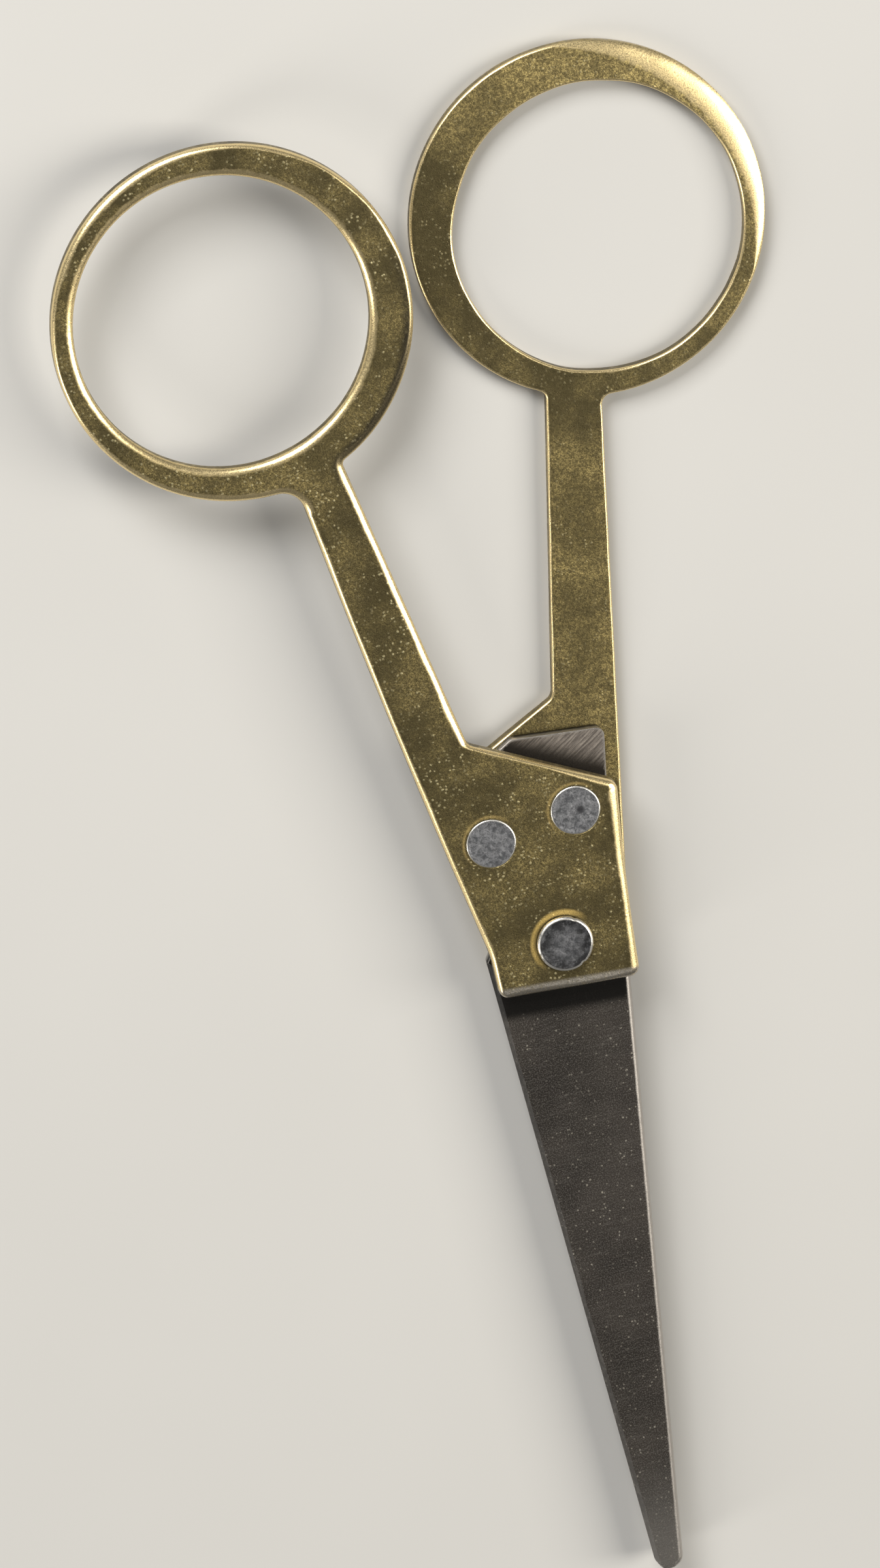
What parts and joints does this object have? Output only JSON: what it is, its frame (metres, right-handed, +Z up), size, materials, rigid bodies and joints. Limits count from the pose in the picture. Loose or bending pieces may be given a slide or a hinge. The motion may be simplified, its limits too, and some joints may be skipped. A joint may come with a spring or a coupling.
{
  "type": "thread snips",
  "caption": "Small riveted thread snips: brass ring handles on a flat steel blade pair that turns on one rivet.",
  "frame": {"origin": "on the pivot's axis, in the plane of the rear handle's outer face, which the closed snips rest on", "axes": "+Z up out of the front face, along the pivot; +Y from the pivot towards the finger rings, along the closed snips; +X to the right, the rear ring's side"},
  "size_m": [0.0586, 0.1285, 0.006],
  "materials": {
    "handle_brass": "aged satin brass, rubbed bright along the edges",
    "blade_steel": "dark ground carbon steel, fine crosswise grind",
    "rivet_steel": "grey mottled steel, peened flush"
  },
  "bodies": {
    "rear_half": {"rear_handle": "handle_brass", "rear_blade": "blade_steel", "rear_outer_rivet": "rivet_steel", "rear_inner_rivet": "rivet_steel", "pivot_rivet": "rivet_steel"},
    "front_half": {"front_handle": "handle_brass", "front_blade": "blade_steel", "front_outer_rivet": "rivet_steel", "front_inner_rivet": "rivet_steel"}
  },
  "joints": [
    {"name": "pivot", "type": "hinge", "parent": "rear_half", "child": "front_half", "pos_m": [0, 0, 0], "axis": [0, 0, 1], "range_deg": [0, 60]}
  ]
}
